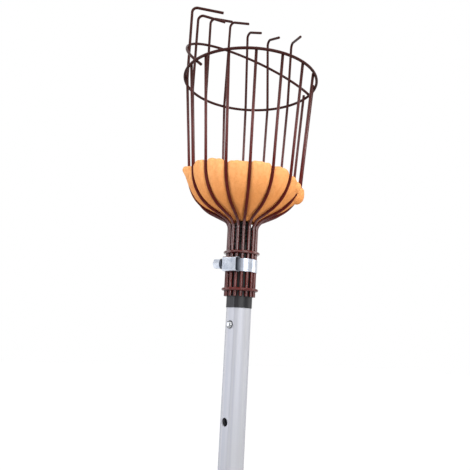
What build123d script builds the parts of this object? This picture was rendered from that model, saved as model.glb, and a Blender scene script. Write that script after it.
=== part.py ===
from build123d import *
from math import asin, atan, cos, degrees, radians, sin, tan
import os

# Telescopic fruit picker: a wire picking basket clamped on the threaded tip of a pole in two sections.
# Millimetres and degrees. +Z runs up the pole, the origin is the middle of the hand grip,
# and the hooked tines stand round +Y.

# Tubes: round, with one flat side that keeps the two sections from turning
tube_radius = 12.7
tube_wall = 1.2
flat_depth = 1.2
flat_turn = 198.0
slide_gap = 0.3
upper_tube_length = 850.0

# Row of holes down the flat, the first for the tip's button and the rest for the pole's length
first_hole_depth = 17.0
hole_pitch = 94.0
hole_radius = 4.15
stowed_hole = 2
button_to_tube_end = 28.0

# Snap buttons and their leaf springs
button_gap = 0.3
button_proud = 2.8
button_dome = 2.4
button_flange_length = 11.5
button_flange_thickness = 1.2
button_seat_gap = 0.1
leaf_thickness = 0.6
leaf_width = 8.0
leaf_seat = 13.0
leaf_length = 26.0
leaf_bend = 2.0

# Hand grip, end cap and the plug in the lower tube's upper end
grip_radius = 15.5
grip_length = 130.0
grip_flange_radius = 18.0
grip_flange_thickness = 6.0
grip_groove_count = 5
grip_groove_pitch = 6.0
grip_groove_depth = 0.9
grip_edge = 2.0
cap_flange_radius = 15.0
cap_flange_thickness = 5.0
cap_insert_length = 28.0
eye_thickness = 8.0
eye_width = 20.0
eye_drop = 13.0
eye_hole_radius = 4.5
plug_flange_thickness = 3.0
plug_insert_length = 12.0
plug_bore_radius = 6.0

# Guide collar on the upper tube's lower end
stop_gap = 0.5
guide_lip = 3.0
guide_radius = 15.6
guide_foot_radius = 17.4
guide_foot_height = 8.0
guide_length = 42.0

# Pole tip: shank in the tube, collar on the tube's end, spigot in the wire socket, threaded nose
tip_seat_gap = 0.1
tip_shank_length = 48.0
tip_pocket_wall = 2.4
tip_pocket_width = 12.0
tip_pocket_roof = 4.0
collar_height = 12.0
spigot_height = 64.0
thread_radius = 10.5
thread_root_radius = 8.6
thread_pitch = 4.2
thread_start = 66.5
thread_foot_share = 0.62
thread_top_share = 0.26
thread_sink = 0.3
nose_gap = 0.8
nose_chamfer = 2.0

# Basket wires, with heights above the upper tube's top end
wire_radius = 1.5
wire_count = 16
weld_bite = 0.25
socket_radius = 14.75
socket_bottom = 11.5
socket_top = 88.8
floor_slope = 26.0
rim_height = 248.4
rim_wire_radius = 70.0
wall_lean = 5.0
neck_bend = 12.0
bowl_bend = 42.6
rim_bend = 60.0
rib_proud = 2.6
hook_bend = 5.0
hook_aim_radius = 66.0
hook_aim_turn = -45.0
tine_rises = (79.5, 92.5, 104.0, 113.5, 106.5, 96.5, 87.0)
tine_sways = (-2.0, 3.0, 2.0, -1.5, 0.5, -1.0, 0.0)
hook_lengths = (37.0, 29.0, 27.5, 31.5, 31.5, 34.5, 36.0)
hook_drops = (12.0, 11.0, 13.5, 15.0, 14.0, 16.0, 9.0)

# Rings round the basket and its socket
ring_wire_radius = 1.5
brace_lift = 10.0
brace_rise = 65.4
brace_turn = 2.0
brace_jog_turn = 155.0
brace_cross_turn = 191.0
brace_tip_length = 8.5
hoop_wire_radius = 1.5
lower_hoop_lift = 7.0
upper_hoop_lift = 45.0

# Worm-drive clamp
clamp_lift = 31.5
clamp_turn = 214.0
band_thickness = 0.7
band_width = 13.0
tail_turn = 68.0
tail_start = 18.0
housing_length = 15.2
housing_wall = 1.0
housing_edge = 2.6
worm_radius = 3.0
worm_root_radius = 2.1
worm_pitch = 2.4
worm_turns = 3.4
worm_gap = 0.3
worm_end_gap = 0.6
worm_recess = 3.4
screw_neck_radius = 2.0
screw_neck_length = 0.6
screw_flange_radius = 5.4
screw_flange_thickness = 2.6
screw_head_flats = 9.2
screw_head_length = 7.4
screw_slot_width = 1.3
screw_slot_depth = 1.8

# Foam pad: a dish against the inside of the wires, with a flap and a lobe pushed out through two gaps
foam_thickness = 10.0
foam_height = 51.2
foam_bulge = 1.0
foam_gap = 0.3
foam_base_radius = 14.0
foam_base_bend = 8.0
foam_edge = 3.5
flap_gap = 7.5
flap_reach = 6.0
flap_rise = 1.0
flap_height = 20.0
flap_width = 14.0
flap_edge = 2.0
lobe_gap = 14.5
lobe_reach = 2.5
lobe_drop = 18.0
lobe_radius = 8.0
lobe_half_length = 10.5
lobe_lean = 12.0

# Radii of the nested tubes and the distances of their flats from the pole's axis
tube_flat = tube_radius - flat_depth
bore_radius = tube_radius - tube_wall
bore_flat = tube_flat - tube_wall
inner_radius = bore_radius - slide_gap
inner_flat = bore_flat - slide_gap
inner_bore_radius = inner_radius - tube_wall
inner_bore_flat = inner_flat - tube_wall

# Heights up the pole
grip_bottom = -grip_length / 2
grip_top = grip_length / 2
upper_tube_bottom = grip_top + stop_gap + guide_lip
tube_top = upper_tube_bottom + upper_tube_length
tip_button_z = tube_top - first_hole_depth
length_button_z = tip_button_z - stowed_hole * hole_pitch
lower_tube_top = length_button_z + button_to_tube_end

# Heights and radii of the head
rim_z = tube_top + rim_height
wire_step = 360.0 / wire_count
spigot_radius = socket_radius - wire_radius
rim_ring_radius = rim_wire_radius + wire_radius + ring_wire_radius - weld_bite
hoop_radius = socket_radius + wire_radius + hoop_wire_radius - weld_bite
band_radius = socket_radius + wire_radius
tail_outer_radius = band_radius + 2 * band_thickness
worm_axis_radius = tail_outer_radius + worm_gap + worm_radius
channel_radius = wire_radius + foam_gap
foam_base = socket_top + channel_radius / cos(radians(floor_slope))
nose_height = foam_base - nose_gap
thread_turns = (nose_height - nose_chamfer - thread_start) / thread_pitch - thread_foot_share / 2
button_radius = hole_radius - button_gap
hole_count = int((upper_tube_length - first_hole_depth - guide_length) // hole_pitch) + 1


def polar(radius, turn, height):
    """A point by its distance from the pole's axis, its turn round it and its height."""
    return (radius * cos(radians(turn)), radius * sin(radians(turn)), height)


def upright_plane(turn, height=0.0):
    """A plane through the pole's axis: X outwards at the given turn, Y up."""
    outwards = (cos(radians(turn)), sin(radians(turn)), 0)
    sideways = (sin(radians(turn)), -cos(radians(turn)), 0)
    return Plane(origin=(0, 0, height), x_dir=outwards, z_dir=sideways)


def facing_plane(turn, height):
    """A plane on the pole's axis that faces outwards at the given turn, with X up."""
    outwards = (cos(radians(turn)), sin(radians(turn)), 0)
    return Plane(origin=(0, 0, height), x_dir=(0, 0, 1), z_dir=outwards)


def pole_plane(height):
    """A level plane whose X points out of the pole's flat."""
    return Plane(origin=(0, 0, height), x_dir=polar(1, flat_turn, 0), z_dir=(0, 0, 1))


def flatted_round(radius, flat):
    """A round outline with one flat, at the given distance from the centre towards X."""
    with BuildSketch() as outline:
        Circle(radius)
        with Locations((flat + radius, 0)):
            Rectangle(2 * radius, 2 * radius, mode=Mode.SUBTRACT)
    return outline.sketch


def bent_wire(points, bends, radius):
    """A round wire along straight runs joined by bends of the given radii."""
    with BuildPart() as wire:
        with BuildLine() as path:
            FilletPolyline(*points, radius=bends)
        with BuildSketch(Plane(origin=path.line @ 0, z_dir=path.line % 0)):
            Circle(radius)
        sweep()
    return wire.part


def thread_ridge(root, crest, pitch, turns):
    """A helical ridge about Z that starts on the XY plane, its foot sunk into the core it is added to."""
    foot = pitch * thread_foot_share / 2
    top = pitch * thread_top_share / 2
    with BuildPart() as ridge:
        with BuildLine() as path:
            Helix(pitch=pitch, height=turns * pitch, radius=root)
        with BuildSketch(Plane(origin=path.line @ 0, x_dir=(1, 0, 0), z_dir=path.line % 0)):
            with BuildLine():
                Polyline(
                    (-thread_sink, -foot),
                    (crest - root, -top),
                    (crest - root, top),
                    (-thread_sink, foot),
                    close=True,
                )
            make_face()
        sweep(is_frenet=True)
    return ridge.part


def wall_radius_at(rim_radius, height):
    """The radius of a leaning basket wall at a height, from its radius at the rim."""
    return rim_radius - (rim_height - height) * tan(radians(wall_lean))


def bowl_corner(floor_radius, floor_height, slope, rim_radius):
    """Radius and height where a floor line that rises outwards meets a leaning wall line."""
    rise = tan(radians(slope))
    lean = tan(radians(wall_lean))
    reach = rim_radius - rim_height * lean - floor_radius
    height = (floor_height + reach * rise) / (1 - lean * rise)
    return (wall_radius_at(rim_radius, height), height)


def snap_button(height, seat):
    """A domed button through the pole's flat, with a flange behind a face at the seat distance."""
    plane = facing_plane(flat_turn, height)
    flange_face = seat - button_seat_gap
    with BuildPart() as button:
        with BuildSketch(plane.offset(flange_face - button_flange_thickness)):
            Rectangle(button_flange_length, leaf_width)
        extrude(amount=button_flange_thickness)
        with BuildSketch(plane.offset(flange_face)):
            Circle(button_radius)
        extrude(amount=tube_flat + button_proud - flange_face)
        rim = button.edges().filter_by(GeomType.CIRCLE).sort_by(Axis((0, 0, height), plane.z_dir))[-1]
        fillet(rim, button_dome)
    return button.part


def leaf_spring(height, seat, back):
    """A bent strip: one leaf under the button's flange, the other against the opposite wall."""
    front = seat - button_seat_gap - button_flange_thickness - button_seat_gap - leaf_thickness / 2
    rear = -(back - button_seat_gap - leaf_thickness / 2)
    with BuildPart() as spring:
        with BuildSketch(upright_plane(flat_turn, height)):
            with BuildLine():
                FilletPolyline(
                    (front, leaf_seat / 2),
                    (front, -leaf_seat / 2),
                    ((front + rear) / 2, -leaf_length),
                    (rear, -leaf_seat / 2),
                    (rear, leaf_seat / 2),
                    radius=leaf_bend,
                )
            trace(line_width=leaf_thickness)
        extrude(amount=leaf_width / 2, both=True)
    return spring.part


upper_outline = flatted_round(tube_radius, tube_flat)
upper_bore = flatted_round(bore_radius, bore_flat)
inner_outline = flatted_round(inner_radius, inner_flat)
inner_bore = flatted_round(inner_bore_radius, inner_bore_flat)

os.makedirs("parts", exist_ok=True)


def save(part, name):
    """Label a finished piece and write it to its own file."""
    part.label = name
    export_step(part, f"parts/{name}.step")


# Lower tube, which slides inside the upper one and carries the length button near its upper end
with BuildPart() as lower_tube:
    with BuildSketch(pole_plane(grip_bottom)):
        add(inner_outline)
        add(inner_bore, mode=Mode.SUBTRACT)
    extrude(amount=lower_tube_top - grip_bottom)
    with BuildSketch(facing_plane(flat_turn, length_button_z)):
        Circle(hole_radius)
    extrude(amount=tube_radius, mode=Mode.SUBTRACT)
save(lower_tube.part, "lower_tube")

# Plug in the lower tube's upper end, flush with the tube so that it slides with it
with BuildPart() as lower_tube_plug:
    with BuildSketch(pole_plane(lower_tube_top)):
        add(inner_outline)
    extrude(amount=plug_flange_thickness)
    with BuildSketch(pole_plane(lower_tube_top)):
        add(inner_bore)
    extrude(amount=-plug_insert_length)
    with BuildSketch(pole_plane(lower_tube_top - plug_insert_length)):
        Circle(plug_bore_radius)
    extrude(amount=plug_insert_length, mode=Mode.SUBTRACT)
save(lower_tube_plug.part, "lower_tube_plug")

# Hand grip: a moulded sleeve on the lower tube, flanged at the top, with ring grooves under the flange
with BuildPart() as hand_grip:
    with BuildSketch(pole_plane(grip_bottom)):
        Circle(grip_radius)
    extrude(amount=grip_length)
    with BuildSketch(pole_plane(grip_top)):
        Circle(grip_flange_radius)
    extrude(amount=-grip_flange_thickness)
    ends = hand_grip.edges().filter_by(GeomType.CIRCLE).group_by(Axis.Z)
    fillet(ends[0] + ends[-1], grip_edge)
    for groove in range(1, grip_groove_count + 1):
        groove_z = grip_top - grip_flange_thickness - groove * grip_groove_pitch
        with BuildSketch(Plane.XZ):
            with Locations((grip_radius, groove_z)):
                Circle(grip_groove_depth)
        revolve(axis=Axis.Z, mode=Mode.SUBTRACT)
    with BuildSketch(pole_plane(grip_bottom)):
        add(inner_outline)
    extrude(amount=grip_length, mode=Mode.SUBTRACT)
save(hand_grip.part, "hand_grip")

# End cap pressed into the lower tube's lower end, with a tongue and a hole to hang the tool up by
with BuildPart() as end_cap:
    with BuildSketch(pole_plane(grip_bottom)):
        Circle(cap_flange_radius)
    extrude(amount=-cap_flange_thickness)
    with BuildSketch(pole_plane(grip_bottom)):
        add(inner_bore)
    extrude(amount=cap_insert_length)
    eye_z = grip_bottom - cap_flange_thickness - eye_drop
    with BuildSketch(Plane.XZ.offset(-eye_thickness / 2)):
        with Locations((0, eye_z)):
            Circle(eye_width / 2)
        with Locations((0, eye_z + eye_drop / 2)):
            Rectangle(eye_width, eye_drop)
        with Locations((0, eye_z)):
            Circle(eye_hole_radius, mode=Mode.SUBTRACT)
    extrude(amount=eye_thickness)
save(end_cap.part, "end_cap")

save(snap_button(length_button_z, inner_bore_flat), "length_button")
save(leaf_spring(length_button_z, inner_bore_flat, inner_bore_flat), "length_spring")

# Upper tube, with the row of holes down its flat
with BuildPart() as upper_tube:
    with BuildSketch(pole_plane(upper_tube_bottom)):
        add(upper_outline)
        add(upper_bore, mode=Mode.SUBTRACT)
    extrude(amount=upper_tube_length)
    with BuildSketch(facing_plane(flat_turn, tip_button_z)):
        with Locations(*[(-hole * hole_pitch, 0) for hole in range(hole_count)]):
            Circle(hole_radius)
    extrude(amount=tube_radius, mode=Mode.SUBTRACT)
save(upper_tube.part, "upper_tube")

# Guide collar: a moulded ferrule over the upper tube's lower end, with a lip that guides the lower tube
with BuildPart() as guide_collar:
    with BuildSketch(pole_plane(upper_tube_bottom - guide_lip)):
        Circle(guide_radius)
    extrude(amount=guide_length)
    with BuildSketch(pole_plane(upper_tube_bottom - guide_lip)):
        Circle(guide_foot_radius)
    extrude(amount=guide_foot_height)
    outside = guide_collar.edges().filter_by(GeomType.CIRCLE).group_by(Axis.Z)
    chamfer(outside[-1], (guide_radius - tube_radius) / 2)
    with BuildSketch(pole_plane(upper_tube_bottom)):
        add(upper_outline)
    extrude(amount=guide_length, mode=Mode.SUBTRACT)
    with BuildSketch(pole_plane(upper_tube_bottom - guide_lip)):
        add(upper_bore)
    extrude(amount=guide_lip, mode=Mode.SUBTRACT)
save(guide_collar.part, "guide_collar")

# Pole tip: one moulding, with a pocket in its shank for the button's spring and a coarse thread at its nose
tip_seat = tube_top + tip_seat_gap
tip_pocket_face = inner_flat - tip_pocket_wall
with BuildPart() as pole_tip:
    with BuildSketch(pole_plane(tube_top - tip_shank_length)):
        add(inner_outline)
    extrude(amount=tip_shank_length + tip_seat_gap)
    with BuildSketch(pole_plane(tip_seat)):
        add(flatted_round(spigot_radius, spigot_radius - flat_depth))
    extrude(amount=collar_height)
    with BuildSketch(Plane.XY.offset(tip_seat + collar_height)):
        Circle(spigot_radius)
    extrude(amount=spigot_height - collar_height - tip_seat_gap)
    with BuildSketch(Plane.XY.offset(tube_top + spigot_height)):
        Circle(thread_root_radius)
    extrude(amount=nose_height - spigot_height)
    chamfer(pole_tip.faces().sort_by(Axis.Z)[-1].edges(), nose_chamfer)
    with Locations((0, 0, tube_top + thread_start)):
        add(thread_ridge(thread_root_radius, thread_radius, thread_pitch, thread_turns))
    with BuildSketch(pole_plane(tube_top - tip_shank_length)):
        Rectangle(2 * tip_pocket_face, tip_pocket_width)
    extrude(amount=tip_shank_length - tip_pocket_roof, mode=Mode.SUBTRACT)
    with BuildSketch(facing_plane(flat_turn, tip_button_z)):
        Circle(hole_radius)
    extrude(amount=tube_radius, mode=Mode.SUBTRACT)
save(pole_tip.part, "pole_tip")

save(snap_button(tip_button_z, tip_pocket_face), "tip_button")
save(leaf_spring(tip_button_z, tip_pocket_face, tip_pocket_face), "tip_spring")

# Basket wires: up the socket, out along the bowl, up the wall; the tines go on to a hook above the rim
rib_top = rim_height + rib_proud
corner_radius, corner_height = bowl_corner(socket_radius, socket_top, floor_slope, rim_wire_radius)
bowl_profile = [
    (socket_radius, socket_bottom),
    (socket_radius, socket_top),
    (corner_radius, corner_height),
]
rib_profile = bowl_profile + [(wall_radius_at(rim_wire_radius, rib_top), rib_top)]
hook_aim = Vector(*polar(hook_aim_radius, hook_aim_turn, 0))


def wire_points(profile, turn):
    """The corners of a wire, from its radii and its heights above the upper tube."""
    return [polar(radius, turn, tube_top + height) for radius, height in profile]


def tine_points(turn, rise, sway, length, drop):
    """The corners of a hooked wire, upright above the rim, its hook aimed at a point across the basket."""
    corner = Vector(*polar(rim_wire_radius, turn + sway, rim_z + rise))
    towards = Vector(hook_aim.X - corner.X, hook_aim.Y - corner.Y, 0).normalized()
    hook_end = corner + towards * length - Vector(0, 0, drop)
    return wire_points(bowl_profile + [(rim_wire_radius, rim_height)], turn) + [corner, hook_end]


rib_bends = [neck_bend, bowl_bend]
tine_bends = [neck_bend, bowl_bend, rim_bend, hook_bend]
tine_shapes = list(zip(tine_rises, tine_sways, hook_lengths, hook_drops))
tine_count = len(tine_shapes)
tine_turns = [(index + 1) * wire_step for index in range(tine_count)]
rib_turns = [(index + 1) * wire_step for index in range(tine_count, wire_count)]

for number, (turn, shape) in enumerate(zip(tine_turns, tine_shapes), 1):
    save(bent_wire(tine_points(turn, *shape), tine_bends, wire_radius), f"hooked_tine_{number}")
for number, turn in enumerate(rib_turns, 1):
    save(bent_wire(wire_points(rib_profile, turn), rib_bends, wire_radius), f"basket_rib_{number}")

# Rim ring, welded round the outside of all the wires
with BuildPart() as rim_ring:
    with Locations((0, 0, rim_z)):
        Torus(rim_ring_radius, ring_wire_radius)
save(rim_ring.part, "rim_ring")

# Slanting brace: half an ellipse round the outside of the tines, one end on the rim, the other inside it
brace_slope = atan(brace_rise / rim_ring_radius)
brace_plane = Plane(
    origin=(0, 0, rim_z + brace_lift),
    x_dir=polar(1, brace_turn, 0),
    z_dir=polar(sin(brace_slope), brace_turn - 90, cos(brace_slope)),
)
brace_seat = ring_wire_radius * (1 + cos(brace_slope)) - weld_bite
brace_arc = Edge.make_ellipse(
    rim_ring_radius,
    rim_ring_radius / cos(brace_slope),
    brace_plane,
    start_angle=-degrees(asin((brace_lift - brace_seat) / brace_rise)),
    end_angle=brace_jog_turn,
)
brace_cross = polar(rim_ring_radius - 2 * ring_wire_radius + weld_bite, brace_cross_turn, rim_z)
with BuildPart() as tine_brace:
    with BuildLine() as brace_path:
        add(brace_arc)
        jog = TangentArc(brace_arc @ 1, brace_cross, tangent=brace_arc % 1)
        Line(jog @ 1, jog @ 1 + (jog % 1) * brace_tip_length)
    with BuildSketch(Plane(origin=brace_arc @ 0, z_dir=brace_arc % 0)):
        Circle(ring_wire_radius)
    sweep(path=brace_path.line)
save(tine_brace.part, "tine_brace")

# Two hoops welded round the socket
for name, lift in (("lower_hoop", lower_hoop_lift), ("upper_hoop", upper_hoop_lift)):
    with BuildPart() as hoop:
        with Locations((0, 0, tube_top + socket_bottom + lift)):
            Torus(hoop_radius, hoop_wire_radius)
    save(hoop.part, name)

# Clamp band: a ring of strip round the socket, its tail lying on it past the housing
clamp_z = tube_top + socket_bottom + clamp_lift
with BuildPart() as clamp_band:
    with BuildSketch(Plane.XY.offset(clamp_z - band_width / 2)):
        Circle(band_radius + band_thickness)
        Circle(band_radius, mode=Mode.SUBTRACT)
        with BuildLine():
            tail_root = clamp_turn - tail_start
            tail_arc = tail_start + tail_turn
            inside = CenterArc((0, 0), band_radius + band_thickness / 2, tail_root, tail_arc)
            outside = CenterArc((0, 0), tail_outer_radius, tail_root, tail_arc)
            Line(inside @ 0, outside @ 0)
            Line(inside @ 1, outside @ 1)
        make_face()
    extrude(amount=band_width)
save(clamp_band.part, "clamp_band")

# Clamp housing: a steel saddle over the band and the worm, with a flat back, closed at the screw head's end
screw_dir = polar(1, clamp_turn - 90, 0)
clamp_plane = Plane(origin=(0, 0, clamp_z), x_dir=polar(1, clamp_turn, 0), z_dir=screw_dir)
housing_foot = band_radius + worm_gap / 2
housing_back = worm_axis_radius + worm_radius + worm_gap + housing_wall


def saddle(foot, back, half_width, edge):
    """The housing's section: two sides that stand out from the band and a flat back with rounded edges."""
    with BuildSketch() as outline:
        with Locations(((foot + back) / 2, 0)):
            Rectangle(back - foot, 2 * half_width)
        fillet(outline.vertices().sort_by(Axis.X)[-2:], edge)
    return outline.sketch


with BuildPart() as clamp_housing:
    with BuildSketch(clamp_plane.offset(-housing_length / 2)):
        add(saddle(housing_foot, housing_back, band_width / 2 + housing_wall, housing_edge))
    extrude(amount=housing_length)
    with BuildSketch(clamp_plane.offset(-housing_length / 2)):
        add(saddle(0, housing_back - housing_wall, band_width / 2, housing_edge - housing_wall))
    extrude(amount=housing_length - housing_wall, mode=Mode.SUBTRACT)
    with BuildSketch(clamp_plane):
        with Locations((worm_axis_radius, 0)):
            Circle(screw_neck_radius + worm_gap)
        with Locations((tail_outer_radius / 2, 0)):
            Rectangle(tail_outer_radius + worm_gap * 2, band_width)
    extrude(amount=housing_length, mode=Mode.SUBTRACT)
save(clamp_housing.part, "clamp_housing")

# Worm screw: threads in the housing, a neck through its end wall, a flange and a slotted hex head outside
worm_end = housing_length / 2 - housing_wall - worm_end_gap
worm_start = worm_recess - housing_length / 2
head_start = housing_length / 2 + screw_neck_length
with BuildPart() as clamp_screw:
    with BuildSketch(clamp_plane.offset(worm_start)):
        with Locations((worm_axis_radius, 0)):
            Circle(worm_root_radius)
    extrude(amount=worm_end - worm_start)
    with Locations(Location(clamp_plane.offset(worm_start + worm_pitch / 2)) * Pos(worm_axis_radius, 0, 0)):
        add(thread_ridge(worm_root_radius, worm_radius, worm_pitch, worm_turns))
    with BuildSketch(clamp_plane.offset(worm_end)):
        with Locations((worm_axis_radius, 0)):
            Circle(screw_neck_radius)
    extrude(amount=head_start - worm_end)
    with BuildSketch(clamp_plane.offset(head_start)):
        with Locations((worm_axis_radius, 0)):
            Circle(screw_flange_radius)
    extrude(amount=screw_flange_thickness)
    with BuildSketch(clamp_plane.offset(head_start + screw_flange_thickness)):
        with Locations((worm_axis_radius, 0)):
            RegularPolygon(screw_head_flats / 2, 6, major_radius=False)
    extrude(amount=screw_head_length)
    with BuildSketch(clamp_plane.offset(head_start + screw_flange_thickness + screw_head_length)):
        with Locations((worm_axis_radius, 0)):
            Rectangle(screw_slot_width, 2 * screw_head_flats)
    extrude(amount=-screw_slot_depth, mode=Mode.SUBTRACT)
save(clamp_screw.part, "clamp_screw")

# Foam pad: a dish turned about the axis, cut off level, with an open channel for each wire,
# a pointed flap through one gap and a round lobe through another
channel_reach = 2 * rim_wire_radius
foam_top = socket_top + foam_height
inner_base = foam_base + foam_thickness
outer_rim = rim_wire_radius + foam_bulge
inner_rim = outer_rim - foam_thickness
outer_corner = (corner_radius + foam_bulge, corner_height)
foam_slope = degrees(atan((corner_height - foam_base) / (corner_radius + foam_bulge - foam_base_radius)))
inner_corner = bowl_corner(foam_base_radius, inner_base, foam_slope, inner_rim)
inner_bend = bowl_bend - foam_thickness
flap_tip = wall_radius_at(outer_rim, foam_top) + flap_reach
flap_root = wall_radius_at(outer_rim, foam_top) - foam_thickness / 2
lobe_height = foam_top - lobe_drop
lobe_turn = lobe_gap * wire_step
lobe_centre = wall_radius_at(outer_rim, lobe_height) + lobe_reach - lobe_radius
lobe_plane = Plane(
    origin=polar(lobe_centre, lobe_turn, tube_top + lobe_height),
    x_dir=polar(cos(radians(lobe_lean)), lobe_turn, -sin(radians(lobe_lean))),
    z_dir=polar(1, lobe_turn - 90, 0),
)


def wire_channel(turn):
    """The slot outside a wire's centre line."""
    with BuildPart() as channel:
        with BuildSketch(upright_plane(turn, tube_top)):
            with BuildLine():
                wire_line = FilletPolyline(*rib_profile, radius=rib_bends)
                outside = [(channel_reach, rib_top), (channel_reach, socket_bottom)]
                Polyline(wire_line @ 1, *outside, wire_line @ 0)
            make_face()
        extrude(amount=channel_radius, both=True)
    return channel.part


with BuildPart() as foam_flap:
    with BuildSketch(upright_plane(flap_gap * wire_step, tube_top + foam_top)):
        with BuildLine():
            Polyline((flap_root, -flap_height), (flap_tip, 0), (flap_root, flap_rise), close=True)
        make_face()
    extrude(amount=flap_width / 2, both=True)
    fillet(foam_flap.edges(), flap_edge)
with BuildPart() as foam_lobe:
    with BuildSketch(lobe_plane):
        Ellipse(lobe_radius, lobe_half_length)
        with Locations((-lobe_radius, 0)):
            Rectangle(2 * lobe_radius, 2 * lobe_half_length, mode=Mode.SUBTRACT)
    revolve(axis=Axis(lobe_plane.origin, lobe_plane.y_dir))
with BuildPart() as foam_pad:
    with BuildSketch(upright_plane(0, tube_top)):
        with BuildLine():
            FilletPolyline(
                (0, foam_base),
                (foam_base_radius, foam_base),
                outer_corner,
                (outer_rim, rim_height),
                (inner_rim, rim_height),
                inner_corner,
                (foam_base_radius, inner_base),
                (0, inner_base),
                radius=[0, foam_base_bend, bowl_bend, 0, 0, inner_bend, foam_base_bend, 0],
                close=True,
            )
        make_face()
    revolve(axis=Axis.Z)
    with BuildSketch(Plane.XY.offset(tube_top + foam_top)):
        Circle(channel_reach)
    extrude(amount=rim_height, mode=Mode.SUBTRACT)
    fillet(foam_pad.faces().sort_by(Axis.Z)[-1].edges(), foam_edge)
    add(foam_flap.part)
    add(foam_lobe.part)
    for turn in tine_turns + rib_turns:
        add(wire_channel(turn), mode=Mode.SUBTRACT)
        add(bent_wire(wire_points(rib_profile, turn), rib_bends, channel_radius), mode=Mode.SUBTRACT)
save(foam_pad.part, "foam_pad")
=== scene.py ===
import math

import bpy
import numpy as np
from mathutils import Matrix, Vector, noise


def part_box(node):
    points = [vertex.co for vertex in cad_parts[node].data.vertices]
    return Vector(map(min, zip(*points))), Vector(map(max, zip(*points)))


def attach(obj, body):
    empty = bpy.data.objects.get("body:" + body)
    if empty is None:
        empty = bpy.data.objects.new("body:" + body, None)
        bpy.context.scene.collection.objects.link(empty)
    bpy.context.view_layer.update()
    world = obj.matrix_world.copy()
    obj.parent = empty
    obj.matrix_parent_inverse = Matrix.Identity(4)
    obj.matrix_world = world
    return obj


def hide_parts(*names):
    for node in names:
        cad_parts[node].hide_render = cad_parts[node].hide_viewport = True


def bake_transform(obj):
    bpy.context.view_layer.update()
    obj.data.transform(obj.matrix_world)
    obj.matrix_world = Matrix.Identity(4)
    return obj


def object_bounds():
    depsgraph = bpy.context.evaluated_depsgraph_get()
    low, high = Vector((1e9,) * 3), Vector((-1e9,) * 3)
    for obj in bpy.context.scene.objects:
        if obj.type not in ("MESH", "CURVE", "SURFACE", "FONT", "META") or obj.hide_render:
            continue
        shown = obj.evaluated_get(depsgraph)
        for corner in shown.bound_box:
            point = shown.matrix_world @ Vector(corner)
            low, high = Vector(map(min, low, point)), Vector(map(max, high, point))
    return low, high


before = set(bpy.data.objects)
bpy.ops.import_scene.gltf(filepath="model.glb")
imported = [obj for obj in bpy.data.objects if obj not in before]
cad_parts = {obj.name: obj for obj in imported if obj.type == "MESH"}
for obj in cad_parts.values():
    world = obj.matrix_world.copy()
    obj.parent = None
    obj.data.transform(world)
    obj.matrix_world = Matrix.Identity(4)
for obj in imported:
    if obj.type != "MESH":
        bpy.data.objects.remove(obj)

cad_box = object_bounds()

# Telescopic tubes
# Two drawn aluminium tubes, one sliding in the other, each with a flat rolled down one side so that
# they can't turn. The satin anodised skin shows the die's lines along it and broad, faint rub marks.


class Signal:
    """A shader socket that takes part in sums: each sum adds a Math node to its finish."""

    def __init__(self, finish, socket):
        self.finish = finish
        self.socket = socket

    def math(self, operation, first, second):
        return self.finish.node("ShaderNodeMath", {"operation": operation}, {0: first, 1: second})

    def __add__(self, other):
        return self.math("ADD", self, other)

    def __radd__(self, other):
        return self.math("ADD", other, self)

    def __sub__(self, other):
        return self.math("SUBTRACT", self, other)

    def __rsub__(self, other):
        return self.math("SUBTRACT", other, self)

    def __mul__(self, other):
        return self.math("MULTIPLY", self, other)

    def __rmul__(self, other):
        return self.math("MULTIPLY", other, self)


class Finish:
    """The nodes of one material or of the studio's air."""

    def __init__(self, owner):
        owner.use_nodes = True
        self.owner = owner
        self.tree = owner.node_tree
        self.tree.nodes.clear()

    def node(self, kind, settings=None, sockets=None, output=0):
        """One node: its settings go in first, then the values or links of its sockets."""
        made = self.tree.nodes.new(kind)
        for name, value in (settings or {}).items():
            setattr(made, name, value)
        for name, value in (sockets or {}).items():
            if isinstance(value, Signal):
                self.tree.links.new(value.socket, made.inputs[name])
            else:
                made.inputs[name].default_value = value
        return Signal(self, made.outputs[output]) if made.outputs else None

    def place(self, scale=(1.0, 1.0, 1.0)):
        """Where a point is on the object, in metres, stretched by a scale."""
        spot = self.node("ShaderNodeTexCoord", output="Object")
        return self.node("ShaderNodeMapping", None, {"Vector": spot, "Scale": scale})

    def height(self):
        """How far up the pole a point is, in metres."""
        return self.node("ShaderNodeSeparateXYZ", None, {"Vector": self.place()}, output="Z")

    def mottle(self, size, detail=2.0, scale=(1.0, 1.0, 1.0)):
        """Soft noise from 0 to 1 whose blotches are about that size in metres."""
        return self.node(
            "ShaderNodeTexNoise", None,
            {"Vector": self.place(scale), "Scale": 1.0 / size, "Detail": detail},
        )

    def between(self, share, first, second):
        """A colour that runs from the first to the second as the share runs from 0 to 1."""
        # A Mix node takes its two colours at sockets 6 and 7 and gives the mixed one at socket 2
        first, second = ((*shade, 1.0) if isinstance(shade, tuple) else shade for shade in (first, second))
        return self.node("ShaderNodeMix", {"data_type": "RGBA"}, {0: share, 6: first, 7: second}, output=2)

    def spread(self, value, low, high):
        """A value stretched so that low becomes 0 and high becomes 1, cut off beyond them."""
        return self.node("ShaderNodeMapRange", None, {0: value, 1: low, 2: high, 3: 0.0, 4: 1.0})

    def surface(self, relief, depth, **sockets):
        """The Principled shader, its relief as a bump of that depth in metres."""
        names = {name.replace("_", " ").title().replace("Ior", "IOR"): value
                 for name, value in sockets.items()}
        names["Normal"] = self.node(
            "ShaderNodeBump", None, {"Height": relief, "Strength": 1.0, "Distance": depth}
        )
        shade = self.node("ShaderNodeBsdfPrincipled", None, names)
        self.node("ShaderNodeOutputMaterial", None, {"Surface": shade})
        return self.owner


def paint(finish, *names):
    """Gives the finish to CAD nodes that keep their own shape."""
    for name in names:
        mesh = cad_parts[name].data
        mesh.materials.clear()
        mesh.materials.append(finish)
        for face in mesh.polygons:
            face.material_index = 0


tube_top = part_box("upper_tube")[1].z


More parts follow.
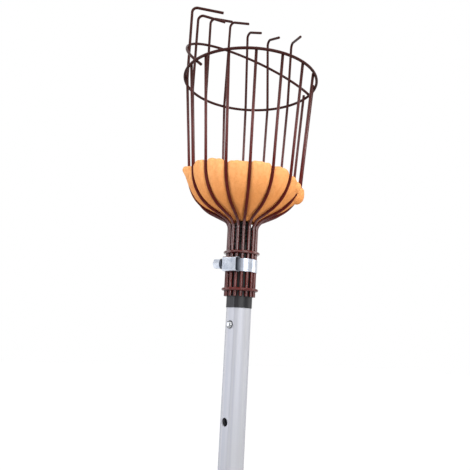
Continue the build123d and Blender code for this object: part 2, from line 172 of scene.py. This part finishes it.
def satin_aluminium():
    dark_skin, pale_skin, rubbed_skin = (0.335, 0.345, 0.395), (0.395, 0.40, 0.43), (0.365, 0.365, 0.385)
    line_width, line_stretch, line_depth = 0.0022, (1.0, 1.0, 0.004), 0.00003
    rub_size, rub_stretch = 0.045, (1.0, 1.0, 0.35)
    f = Finish(bpy.data.materials.new("satin_aluminium"))
    die_lines = f.mottle(line_width, 3.0, line_stretch)
    rubbing = f.mottle(rub_size, 3.0, rub_stretch)
    skin = f.between(f.spread(die_lines, 0.32, 0.68), dark_skin, pale_skin)
    return f.surface(
        die_lines, line_depth,
        base_color=f.between(f.spread(rubbing, 0.4, 0.8), skin, rubbed_skin),
        metallic=0.25,
        roughness=0.42 + 0.10 * rubbing + 0.06 * die_lines,
    )


paint(satin_aluminium(), "upper_tube", "lower_tube")

# Plug, guide collar, end cap and threaded tip
# Injection moulded black nylon. It is half dull, with drawn marks from the mould along the pole and
# slightly greyer patches where the hand and the tubes rub it.


def black_nylon():
    dark_mark, pale_mark = (0.007, 0.0068, 0.008), (0.019, 0.0186, 0.021)
    socket_shade, worn = (0.005, 0.004, 0.004), (0.05, 0.05, 0.052)
    mark_width, mark_stretch, mark_depth = 0.0024, (1.0, 1.0, 0.03), 0.00004
    wear_size, grain_size = 0.018, 0.00045
    socket_shade_top, socket_shade_bottom = tube_top + 0.016, tube_top + 0.010
    f = Finish(bpy.data.materials.new("black_plastic"))
    draw_marks = f.mottle(mark_width, 2.0, mark_stretch)
    wear = f.mottle(wear_size, 4.0)
    grain = f.mottle(grain_size, 1.0)
    open_and_unshaded = f.spread(f.height(), socket_shade_top, socket_shade_bottom)
    marked = f.between(f.spread(draw_marks, 0.35, 0.7), dark_mark, pale_mark)
    # Inside the wire socket the tip is painted near black, as painted shade between the wires, and shows no
    # wear
    body = f.between(open_and_unshaded, socket_shade, marked)
    return f.surface(
        grain * 0.4 + draw_marks, mark_depth,
        base_color=f.between(f.spread(wear, 0.55, 0.85) * 0.5 * open_and_unshaded, body, worn),
        roughness=0.5 - 0.16 * open_and_unshaded + 0.16 * wear,
        specular_ior_level=0.2,
    )


paint(black_nylon(), "lower_tube_plug", "guide_collar", "end_cap", "pole_tip")

# Hand grip
# A soft rubber sleeve pushed over the lower tube's end, with a flange above and ring grooves for the
# fingers. The rubber is dull, pebbled all over, and greyed by dust in its low places.


def grip_rubber():
    clean, dusty = (0.014, 0.014, 0.015), (0.075, 0.072, 0.068)
    pebbles_per_metre, pebble_depth, dust_size = 900.0, 0.00012, 0.012
    f = Finish(bpy.data.materials.new("black_rubber"))
    pebbles = f.node(
        "ShaderNodeTexVoronoi", {"feature": "SMOOTH_F1"},
        {"Vector": f.place(), "Scale": pebbles_per_metre, "Smoothness": 0.6},
    )
    dust = f.mottle(dust_size, 4.0)
    return f.surface(
        1.0 - pebbles, pebble_depth,
        base_color=f.between(f.spread(dust, 0.45, 0.8) * pebbles, clean, dusty),
        roughness=0.68 + 0.2 * dust,
    )


paint(grip_rubber(), "hand_grip")

# Snap buttons and their leaf springs
# A turned steel button, polished by the hole's edge, stands out through the tube. A bent leaf of hardened
# spring steel, browned by its heat treatment, pushes it outward from inside; the copied leaf keeps one
# shape.


def turned_steel():
    dull_steel, bright_steel = (0.20, 0.205, 0.215), (0.32, 0.325, 0.335)
    mark_width, mark_stretch, mark_depth, smear_size = 0.0004, (1.0, 1.0, 0.5), 0.00002, 0.003
    f = Finish(bpy.data.materials.new("button_steel"))
    tool_marks = f.mottle(mark_width, 2.0, mark_stretch)
    smear = f.mottle(smear_size, 2.0)
    return f.surface(
        tool_marks, mark_depth,
        base_color=f.between(smear, dull_steel, bright_steel),
        metallic=1.0,
        roughness=0.14 + 0.16 * smear,
    )


def browned_spring():
    browned, bare = (0.20, 0.19, 0.20), (0.42, 0.40, 0.37)
    mark_size, mark_depth = 0.0016, 0.00002
    f = Finish(bpy.data.materials.new("spring_steel"))
    scale_marks = f.mottle(mark_size, 4.0)
    return f.surface(
        scale_marks, mark_depth,
        base_color=f.between(scale_marks, browned, bare),
        metallic=1.0,
        roughness=0.28 + 0.2 * scale_marks,
    )


paint(turned_steel(), "length_button", "tip_button")

leaf_steel = browned_spring()
for spring, press in (("length_spring", "length_button_press"), ("tip_spring", "tip_button_press")):
    leaf = bpy.data.objects.new("bent_" + spring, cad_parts[spring].data.copy())
    leaf.data.materials.clear()
    leaf.data.materials.append(leaf_steel)
    bpy.context.scene.collection.objects.link(leaf)
    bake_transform(leaf)
    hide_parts(spring)

# Basket wires, rim ring, brace and hoops
# Round steel wire, bent, welded where the wires cross, then powder coated dark maroon. The pad has
# rubbed the coat's gloss off in the bowl. The rim and the hooks are painted darker, as painted shade, and
# dulled.

wire_nodes = [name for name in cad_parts
              if name.startswith(("hooked_tine_", "basket_rib_")) or name.endswith("_hoop")]
wire_nodes += ["rim_ring", "tine_brace"]


def powder_coat():
    red_coat, brown_coat = (0.070, 0.0072, 0.0062), (0.102, 0.0150, 0.0120)
    chalky, rim_shade_colour = (0.13, 0.04, 0.035), (0.042, 0.0155, 0.0135)
    peel_size, peel_depth, drift_size, chalk_size = 0.0009, 0.00004, 0.03, 0.007
    # Each zone fades from 0 at its first height to 1 at its second
    clamp_shade = (tube_top + 0.040, tube_top + 0.058)
    bowl_start = (tube_top + 0.098, tube_top + 0.086)
    bowl_end = (tube_top + 0.140, tube_top + 0.180)
    rim_shade_start, rim_shade_wander = (tube_top + 0.195, tube_top + 0.255), 0.03
    f = Finish(bpy.data.materials.new("coated_wire"))
    orange_peel = f.mottle(peel_size, 1.0)
    drift = f.mottle(drift_size, 3.0)
    chalk = f.mottle(chalk_size, 5.0)
    coat = f.between(f.spread(drift, 0.3, 0.7), red_coat, brown_coat)
    up = f.height()
    below_bowl, above_bowl = f.spread(up, *bowl_start), f.spread(up, *bowl_end)
    above_clamp = f.spread(up, *clamp_shade)
    rim_shade_and_dulling = f.spread(up + rim_shade_wander * chalk, *rim_shade_start)
    gloss = below_bowl * (0.45 + 0.55 * above_clamp) + above_bowl * (1.0 - rim_shade_and_dulling)
    chalked = f.between(f.spread(chalk, 0.5, 0.8) * 0.3, coat, chalky)
    return f.surface(
        orange_peel, peel_depth,
        # The rim and the hooks are painted darker towards the top, as painted shade, and their gloss fades
        base_color=f.between(rim_shade_and_dulling * 0.92, chalked, rim_shade_colour),
        roughness=0.16 + 0.14 * chalk,
        specular_ior_level=0.03,
        coat_weight=gloss,
        coat_roughness=0.16,
    )


paint(powder_coat(), *wire_nodes)

# Worm clamp: band, housing and screw
# Zinc plated steel. The strip is rolled round the wires on the pole's tip, the pressed housing is
# locked on it, and a slotted hexagon screw draws the strip tight. The plating is bright and cloudy.

clamp_turn = math.radians(214.0)
screw_axis = (math.sin(clamp_turn), -math.cos(clamp_turn), 0.0)
flange_start, flange_end = (0.0070, 0.0076), (0.0105, 0.0110)
mouth_turn, band_radius = math.radians(234.0), 0.0177
mouth_shade_fade, mouth_shade_wander, mouth_shade_blotch, mouth_shade_share = (0.0106, 0.0058), 0.0016, 0.003, 0.86


def zinc_plate(name, shade_mask_of):
    dull_zinc, bright_zinc, painted_shade_tone = (0.40, 0.44, 0.52), (0.58, 0.61, 0.67), (0.05, 0.055, 0.07)
    cloud_size, cloud_depth, scuff_size, scuff_stretch = 0.007, 0.00005, 0.0012, (1.0, 1.0, 6.0)
    f = Finish(bpy.data.materials.new(name))
    cloud = f.mottle(cloud_size, 4.0)
    scuffs = f.mottle(scuff_size, 2.0, scuff_stretch)
    shade_amount = shade_mask_of(f)
    plate = f.between(f.spread(cloud, 0.3, 0.7), dull_zinc, bright_zinc)
    return f.surface(
        cloud + 0.3 * scuffs, cloud_depth,
        # The dark tone is painted shade, laid where the part's shade mask says
        base_color=f.between(shade_amount, plate, painted_shade_tone),
        metallic=1.0,
        roughness=0.18 + 0.10 * cloud + 0.06 * scuffs + 0.15 * shade_amount,
    )


def shade_by_mouth(f):
    """Painted shade on the band beside the housing's open end, darkest next to it."""
    mouth = (math.cos(mouth_turn) * band_radius, math.sin(mouth_turn) * band_radius, 0.0)
    level = (1.0, 1.0, 0.0)
    away = f.node(
        "ShaderNodeVectorMath", {"operation": "DISTANCE"}, {0: f.place(level), 1: mouth}, output="Value"
    )
    return f.spread(away + mouth_shade_wander * f.mottle(mouth_shade_blotch), *mouth_shade_fade) * mouth_shade_share


def shade_on_flange(f):
    """Painted shade that blackens the screw's flange between its head and the housing."""
    along = f.node(
        "ShaderNodeVectorMath", {"operation": "DOT_PRODUCT"}, {0: f.place(), 1: screw_axis}, output="Value"
    )
    return f.spread(along, *flange_start) - f.spread(along, *flange_end)


paint(zinc_plate("zinc_steel", shade_by_mouth), "clamp_band", "clamp_housing")
paint(zinc_plate("zinc_screw", shade_on_flange), "clamp_screw")

# Foam pad
# A thick sheet of orange sponge pressed into the basket's bowl to soften the drop. The wires sink into
# it so that it swells between them, its cut edge waves, and a corner and a lobe push out through gaps.

# The wires' line up the socket, out along the bowl and up the wall; heights are above the upper tube
wire_count = 16
wire_clear = 0.00168
socket_radius, socket_bottom, socket_top = 0.01475, 0.0115, 0.0888
bowl_radius, bowl_height = 0.05788, 0.10983
rim_wire_radius, rim_height = 0.0700, 0.2484
neck_bend, bowl_bend = 0.012, 0.0426

# The sheet before the wires press into it
foam_top, foam_bottom = 0.140, 0.0908
foam_thickness = 0.010
foam_proud = 0.001
foam_lip, lip_steps, lip_squareness, lip_flatness = 0.0034, 14, 0.55, 0.75
hub_radius, hub_bend, hub_point = 0.014, 0.008, 0.0008
turn_steps = 336
run_step, wire_step, outside_step = 0.0012, 0.0015, 0.0008

# Swelling between the wires and grooves under them; panel swells are turns in degrees and shares
foam_swell, least_swell, swell_start, swell_run, swell_roundness = 0.0017, 0.35, 0.098, 0.035, 2.4
panel_swells = [(250, 1.0), (281, 0.9), (304, 0.3), (314, 0.4), (326, 1.0)]
foam_groove, groove_spread = 0.00175, 0.0029
foam_sag, sag_radius, sag_spread = 0.0028, 0.0138, 0.0024
lump_inside, lump_outside, lumps_per_metre = 0.0015, 0.0006, 55
fold_depth, fold_start, fold_run, folds_round, folds_per_metre = 0.0011, 0.105, 0.03, 13, 18

# Lobes that swell out on both sides of one wire, the larger one through the gap beyond it
foam_lobes = [
    # turn, height, half width, half height above and below, reach
    (326.0, 0.1176, 0.0112, 0.0120, 0.0058, 0.0044),
    (310.0, 0.1236, 0.0068, 0.0064, 0.0056, 0.0036),
]
lobe_top_roundness, lobe_foot_roundness = 1.0, 0.5

# The pointed corner on the other side
corner_turn, corner_half_width, corner_bottom = math.radians(168.75), 0.0085, 0.1240
corner_reach, corner_curl = 0.0052, 1.7
corner_fall, corner_flatness = 0.0018, 0.55
corner_lean, corner_square = 0.09, 0.006
corner_edge, corner_tip = 0.45, 0.2

# The cut edge: turn in degrees, and height above or below the sheet's top
edge_heights = [
    (0, -0.002), (45, 0.001), (90, 0.0), (130, 0.001), (157.5, 0.0025), (168.75, 0.0042), (180, 0.0028),
    (190.7, 0.0045), (202, 0.0034), (209, 0.0034), (217, 0.0018), (224, 0.0008), (228, -0.0006),
    (237.5, -0.0022), (245, -0.0006), (256, -0.0012), (268, -0.0008), (273, -0.0014), (280, -0.0022),
    (287, -0.0034), (292, -0.0064), (297, -0.0066), (300, -0.0076), (304, -0.0092), (310, -0.0118),
    (320, -0.0122), (327, -0.0106), (333, -0.0085), (342, -0.0055),
]
edge_zone = 0.034
ripple_height, ripples_round, ripple_level = 0.0006, 9, 3.7
notch_depth, notch_width = 0.0006, 0.003


def bent_run(corners, bends, step):
    """Points along straights in the radius and height plane, each inner corner an arc of its own radius."""
    corners = [np.array(c) for c in corners]
    points = [corners[0]]
    for before, corner, after, bend in zip(corners, corners[1:], corners[2:], bends):
        back = (before - corner) / np.linalg.norm(before - corner)
        ahead = (after - corner) / np.linalg.norm(after - corner)
        half = math.acos(float(np.clip(back @ ahead, -1, 1))) / 2
        reach = bend / math.tan(half)
        centre = corner + (back + ahead) / np.linalg.norm(back + ahead) * bend / math.sin(half)
        first, last = corner + back * reach - centre, corner + ahead * reach - centre
        sweep = math.pi - 2 * half
        count = max(3, int(sweep * bend / step))
        for k in range(count + 1):
            share = k / count
            points.append(centre + (first * math.sin((1 - share) * sweep)
                                    + last * math.sin(share * sweep)) / math.sin(sweep))
    points.append(corners[-1])
    return np.array(points)


def even_steps(points, step):
    """The same line with points about one step apart."""
    lengths = np.concatenate([[0.0], np.cumsum(np.linalg.norm(np.diff(points, axis=0), axis=1))])
    wanted = np.linspace(0.0, lengths[-1], int(lengths[-1] / step) + 1)
    return np.stack([np.interp(wanted, lengths, points[:, k]) for k in (0, 1)], axis=1)


def outward_of(line):
    """The outward direction at each point of a line that runs up the outside."""
    along = np.gradient(line, axis=0)
    along /= np.linalg.norm(along, axis=1)[:, None]
    return np.stack([along[:, 1], -along[:, 0]], axis=1)


def ease(share):
    """A smooth step from 0 to 1."""
    share = np.clip(share, 0.0, 1.0)
    return share * share * (3 - 2 * share)


wire_line = bent_run(
    [(socket_radius, socket_bottom), (socket_radius, socket_top), (bowl_radius, bowl_height),
     (rim_wire_radius, rim_height)],
    [neck_bend, bowl_bend], wire_step,
)
outside_line = bent_run(
    [(0.0, foam_bottom), (hub_radius, foam_bottom), (bowl_radius + foam_proud, bowl_height),
     (rim_wire_radius + foam_proud, rim_height)],
    [hub_bend, bowl_bend], outside_step,
)


def wall_radius(height):
    """The pad's outside radius at a height, before the wires press into it."""
    return np.interp(height, outside_line[1:, 1], outside_line[1:, 0])


def foam_section():
    """The pad's section from the middle of its underside, over the lip, to the middle of its dish, with
    its outward directions and how far each point belongs to the outside."""
    outside = even_steps(outside_line[outside_line[:, 1] < foam_top - foam_lip], run_step)
    inside = (outside - outward_of(outside) * foam_thickness)[::-1]
    inside = even_steps(inside[inside[:, 0] > hub_point], run_step)
    middle = (outside[-1] + inside[0]) / 2
    across = outside[-1] - middle
    up = np.array([-across[1], across[0]]) / np.linalg.norm(across) * foam_lip
    angles = np.linspace(0.0, math.pi, lip_steps + 1)[1:-1]
    lip = np.array([
        middle + across * math.copysign(abs(math.cos(a)) ** lip_squareness, math.cos(a))
        + up * abs(math.sin(a)) ** lip_flatness
        for a in angles
    ])
    section = np.concatenate([outside[1:], lip, inside])
    outer = np.concatenate([
        np.ones(len(outside) - 1), np.linspace(1.0, 0.0, len(lip)), np.zeros(len(inside))
    ])
    return section, outward_of(section), outer


def foam_points():
    """The pad's points, one row for each step of turn, after swelling, waving and clearing the wires."""
    section, outward, outer = foam_section()
    radius, height, outer = section[:, 0][None, :], section[:, 1][None, :], outer[None, :]
    turn = np.linspace(0.0, 2 * math.pi, turn_steps, endpoint=False)[:, None]
    gap = 2 * math.pi / wire_count
    aside = (turn + gap / 2) % gap - gap / 2
    from_wire = radius * aside

    # The cut edge rises and falls round the bowl, and slides in along the wall as it falls
    near_top = ease((height - (foam_top - edge_zone)) / edge_zone)
    edge = np.interp(np.degrees(turn), *zip(*edge_heights), period=360)
    ripple = np.array([
        [noise.noise(Vector((math.cos(a) * ripples_round, math.sin(a) * ripples_round, ripple_level)))]
        for a in turn[:, 0]
    ])
    notch = np.exp(-(from_wire / notch_width) ** 2) * notch_depth
    lifted = height + near_top * (edge + ripple * ripple_height - notch)
    slide = (wall_radius(lifted) - wall_radius(height)) * near_top

    # Soft lobes, fuller at the foot than at the top
    lobe = np.zeros_like(lifted)
    for lobe_turn, lobe_height, half_width, half_above, half_below, reach in foam_lobes:
        beside = radius * (turn - math.radians(lobe_turn)) / half_width
        above = (lifted - lobe_height) / np.where(lifted > lobe_height, half_above, half_below)
        roundness = np.where(above > 0, lobe_top_roundness, lobe_foot_roundness)
        lobe = lobe + np.clip(1 - beside ** 2 - above ** 2, 0, 1) ** roundness * reach

    # Pillows between the wires, fuller towards the cut edge, pinched where a wire presses in
    across = np.clip(np.abs(aside) / (gap / 2), 0, 1)
    fullness = least_swell + (1 - least_swell) * ease((height - swell_start) / swell_run)
    fullness = foam_swell * fullness * np.interp(np.degrees(turn), *zip(*panel_swells), period=360)
    pillow = fullness * (1 - (1 - across) ** swell_roundness) + lobe
    pinch = np.exp(-(from_wire / groove_spread) ** 2)
    push = (pillow - (pillow + foam_groove) * pinch) * outer

    # Slow lumps and upright folds
    lumps = np.array([
        [noise.noise(Vector((r * math.cos(a), r * math.sin(a), h)) * lumps_per_metre) for r, h in section]
        for a in turn[:, 0]
    ])
    folds = np.array([
        [noise.noise(Vector((math.cos(a) * folds_round, math.sin(a) * folds_round, h * folds_per_metre)))
         for r, h in section]
        for a in turn[:, 0]
    ])
    push = push + lumps * (lump_inside + (lump_outside - lump_inside) * outer)
    push = push + folds * fold_depth * ease((height - fold_start) / fold_run)

    # A pointed corner pushed out between two wires, its cut edge left sharp
    beside = np.abs(radius * (turn - corner_turn)) / corner_half_width
    corner = np.clip(1 - beside, 0, 1)
    rise = np.clip((lifted - corner_bottom) / (foam_top - corner_bottom), 0, 1)
    shoulder_radius, shoulder_height = section[outer[0] == 1][-1]
    over_shoulder = height - shoulder_height
    squared = np.clip(shoulder_radius + over_shoulder * corner_lean - radius, 0, corner_square)
    squared = squared * (outer > corner_edge) * (over_shoulder > 0)
    tip = corner_tip + (1 - corner_tip) * ease(outer / corner_edge)
    shove = corner * (rise ** corner_curl * corner_reach * tip + squared)

    r = radius + slide + push * outward[:, 0][None, :] + shove
    z = lifted + push * outward[:, 1][None, :] - corner * near_top * outer * corner_fall
    z = z - corner * np.clip(over_shoulder, 0, None) * corner_flatness
    z = z - foam_sag * np.exp(-((radius - sag_radius) / sag_spread) ** 2) * outer

    # Where a wire still touches, the foam gives way round it
    s = r * np.sin(aside)
    flat = np.stack([(r * np.cos(aside)).ravel(), z.ravel()], axis=1)
    nearest = np.full(len(flat), np.inf)
    foot = np.zeros_like(flat)
    for a, b in zip(wire_line, wire_line[1:]):
        run = b - a
        share = np.clip(((flat - a) @ run) / (run @ run), 0, 1)
        spot = a + share[:, None] * run
        far = np.linalg.norm(flat - spot, axis=1)
        closer = far < nearest
        nearest[closer] = far[closer]
        foot[closer] = spot[closer]
    apart = np.maximum(np.hypot(nearest, s.ravel()), wire_clear / 100)
    grow = np.maximum(wire_clear / apart, 1.0)
    moved = foot + (flat - foot) * grow[:, None]
    q, z = moved[:, 0].reshape(r.shape), moved[:, 1].reshape(r.shape)
    s = s * grow.reshape(r.shape)
    middle = turn - aside
    x = q * np.cos(middle) - s * np.sin(middle)
    y = q * np.sin(middle) + s * np.cos(middle)
    return np.stack([x, y, z + tube_top], axis=2)


def foam_mesh():
    grid = foam_points()
    rows, columns = grid.shape[:2]
    points = [tuple(p) for p in grid.reshape(-1, 3)]
    underside, dish = len(points), len(points) + 1
    points.append((0.0, 0.0, float(grid[:, 0, 2].mean())))
    points.append((0.0, 0.0, float(grid[:, -1, 2].mean())))
    faces = []
    for i in range(rows):
        j = (i + 1) % rows
        faces.append((underside, j * columns, i * columns))
        faces.append((dish, i * columns + columns - 1, j * columns + columns - 1))
        for k in range(columns - 1):
            faces.append((i * columns + k, j * columns + k, j * columns + k + 1, i * columns + k + 1))
    mesh = bpy.data.meshes.new("sponge_dish")
    mesh.from_pydata(points, [], faces)
    mesh.validate()
    mesh.shade_smooth()
    return mesh


def orange_sponge():
    deep_orange, lit_top_orange = (0.83, 0.33, 0.102), (0.95, 0.46, 0.185)
    crumbled, streaked, pore_shade = (0.74, 0.26, 0.068), (0.70, 0.25, 0.075), (0.46, 0.14, 0.035)
    pores_per_metre, pore_depth, fine_pore_size = 1350.0, 0.00022, 0.00035
    fade_size, crumb_size, streak_size, streak_stretch = 0.02, 0.003, 0.0045, (1.0, 1.0, 0.3)
    top_light_start, top_light_wander = (tube_top + 0.118, tube_top + 0.146), 0.02
    f = Finish(bpy.data.materials.new("orange_foam"))
    pores = f.node(
        "ShaderNodeTexVoronoi", {"feature": "F1"},
        {"Vector": f.place(), "Scale": pores_per_metre, "Randomness": 1.0},
    )
    fine_pores = f.mottle(fine_pore_size, 2.0)
    fade = f.mottle(fade_size, 4.0)
    crumb = f.mottle(crumb_size, 4.0)
    streaks = f.mottle(streak_size, 4.0, streak_stretch)
    pits = 1.0 - f.spread(pores, 0.05, 0.25 + 0.35 * fade)
    # Painted light: the pad is paler towards its cut edge, as if lit from above, and deeper orange lower
    # down
    painted_top_light = f.spread(f.height() + top_light_wander * fade, *top_light_start)
    body = f.between(painted_top_light, deep_orange, lit_top_orange)
    body = f.between(f.spread(crumb, 0.42, 0.72) * 0.45, body, crumbled)
    body = f.between(f.spread(streaks, 0.52, 0.75) * 0.35, body, streaked)
    # The pores are painted darker, as painted shade inside them
    return f.surface(
        fine_pores * 0.5 - pits, pore_depth,
        base_color=f.between(pits * 0.38, body, pore_shade),
        roughness=0.95,
        specular_ior_level=0.08,
    )


foam = bpy.data.objects.new("sponge_dish", foam_mesh())
bpy.context.scene.collection.objects.link(foam)
foam.data.materials.append(orange_sponge())
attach(foam, "head")
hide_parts("foam_pad")

# Studio
# A pale floor under the pole's end, white air behind, and soft lamps above, in front and at both sides.
# The camera stands where the photograph was taken, a little below the basket and half a metre from it.

camera_distance = 0.5345
camera_below_tube_top = 0.020
camera_turn = math.radians(-26.0)
camera_pan, camera_tilt, camera_roll = (math.radians(a) for a in (-0.854, 10.175, 3.081))
sensor_width, focal_pixels, frame_pixels = 36.0, 515.8, 470.0


def camera_place():
    """Where the camera stands and how it is turned, from its pan, tilt and roll."""
    ahead = Vector((
        math.sin(camera_pan) * math.cos(camera_tilt),
        math.cos(camera_pan) * math.cos(camera_tilt),
        math.sin(camera_tilt),
    ))
    level = Vector((math.cos(camera_pan), -math.sin(camera_pan), 0.0))
    upright = level.cross(ahead)
    right = math.cos(camera_roll) * level + math.sin(camera_roll) * upright
    up = -math.sin(camera_roll) * level + math.cos(camera_roll) * upright
    turned = Matrix((right, up, -ahead)).transposed().to_4x4()
    stand = Matrix.Translation((0.0, -camera_distance, tube_top - camera_below_tube_top))
    return Matrix.Rotation(camera_turn, 4, "Z") @ stand @ turned


lens = bpy.data.cameras.new("camera")
lens.sensor_width = sensor_width
lens.lens = sensor_width * focal_pixels / frame_pixels
lens.clip_start, lens.clip_end = 0.01, 50.0
camera = bpy.data.objects.new("camera", lens)
bpy.context.scene.collection.objects.link(camera)
camera.matrix_world = camera_place()
bpy.context.scene.camera = camera

floor_size = 12.0
floor_gap = 0.0005
floor_whiteness = 0.72
air_light, air_whiteness = 0.36, 1.0
plain_white = (1.0, 1.0, 1.0, 1.0)

floor_mesh = bpy.data.meshes.new("studio_floor")
floor_z = cad_box[0].z - floor_gap
floor_mesh.from_pydata(
    [(x * floor_size, y * floor_size, floor_z) for x, y in ((-1, -1), (1, -1), (1, 1), (-1, 1))],
    [], [(0, 1, 2, 3)],
)
floor = bpy.data.objects.new("studio_floor", floor_mesh)
bpy.context.scene.collection.objects.link(floor)


def seen_as_white(f):
    """1 for what the camera sees, straight or in polished metal, and 0 for light that falls on the
    picker."""
    ways = ("Is Camera Ray", "Is Glossy Ray", "Is Transmission Ray")
    straight, mirrored, through = (f.node("ShaderNodeLightPath", output=way) for way in ways)
    return straight + mirrored + through


def pale_floor():
    grey_paper, pale_paper, speckle_size = (0.70, 0.70, 0.695), (0.72, 0.72, 0.715), 0.05
    f = Finish(bpy.data.materials.new("pale_floor"))
    speckle = f.mottle(speckle_size, 3.0)
    paper = f.node(
        "ShaderNodeBsdfPrincipled", None,
        {"Base Color": f.between(speckle, grey_paper, pale_paper), "Roughness": 0.9},
    )
    white = f.node("ShaderNodeEmission", None, {"Color": plain_white, "Strength": floor_whiteness})
    glowing = f.node("ShaderNodeAddShader", None, {0: paper, 1: white})
    seen = f.node("ShaderNodeMixShader", None, {0: seen_as_white(f), 1: paper, 2: glowing})
    f.node("ShaderNodeOutputMaterial", None, {"Surface": seen})
    return f.owner


floor_mesh.materials.append(pale_floor())


def studio_air():
    """Soft even light, which the camera sees as white."""
    f = Finish(bpy.data.worlds.new("studio_air"))
    soft = f.node("ShaderNodeBackground", None, {"Color": plain_white, "Strength": air_light})
    white = f.node("ShaderNodeBackground", None, {"Color": plain_white, "Strength": air_whiteness})
    both = f.node("ShaderNodeMixShader", None, {0: seen_as_white(f), 1: soft, 2: white})
    f.node("ShaderNodeOutputWorld", None, {"Surface": both})
    return f.owner


bpy.context.scene.world = studio_air()

lamp_aim_height = 0.1
warm, warmer, neutral, cool = (1.0, 0.985, 0.96), (1.0, 0.985, 0.95), (1.0, 1.0, 1.0), (0.9, 0.92, 1.0)


def light_panel(name, turn, distance, above, width, tall, power, colour):
    """A soft panel aimed at the pole's head; its turn to the right is counted from the camera's side."""
    lamp = bpy.data.lights.new(name, "AREA")
    lamp.shape = "RECTANGLE"
    lamp.size, lamp.size_y = width, tall
    lamp.energy = power
    lamp.color = colour
    panel = bpy.data.objects.new(name, lamp)
    bpy.context.scene.collection.objects.link(panel)
    aim = Vector((0.0, 0.0, tube_top + lamp_aim_height))
    back = Matrix.Rotation(camera_turn + math.radians(turn), 3, "Z") @ Vector((0.0, -distance, above))
    panel.location = aim + back
    panel.rotation_euler = (-back).to_track_quat("-Z", "Y").to_euler()
    panel.visible_camera = False


light_panel("key_panel", turn=30, distance=1.4, above=1.5, width=1.1, tall=1.1, power=24, colour=warm)
light_panel("fill_panel", turn=-45, distance=1.5, above=1.2, width=1.1, tall=1.1, power=12, colour=neutral)
light_panel("front_box", turn=20, distance=1.6, above=0.056, width=1.1, tall=0.5, power=16, colour=neutral)
light_panel("right_box", turn=100, distance=1.6, above=0, width=0.6, tall=1.1, power=5, colour=warmer)
light_panel("right_strip", turn=95, distance=1.6, above=0.85, width=0.25, tall=0.9, power=5, colour=warmer)
light_panel("left_box", turn=-90, distance=1.6, above=0, width=0.9, tall=1.1, power=12, colour=cool)

view_settings = bpy.context.scene.view_settings
view_settings.view_transform = "Standard"
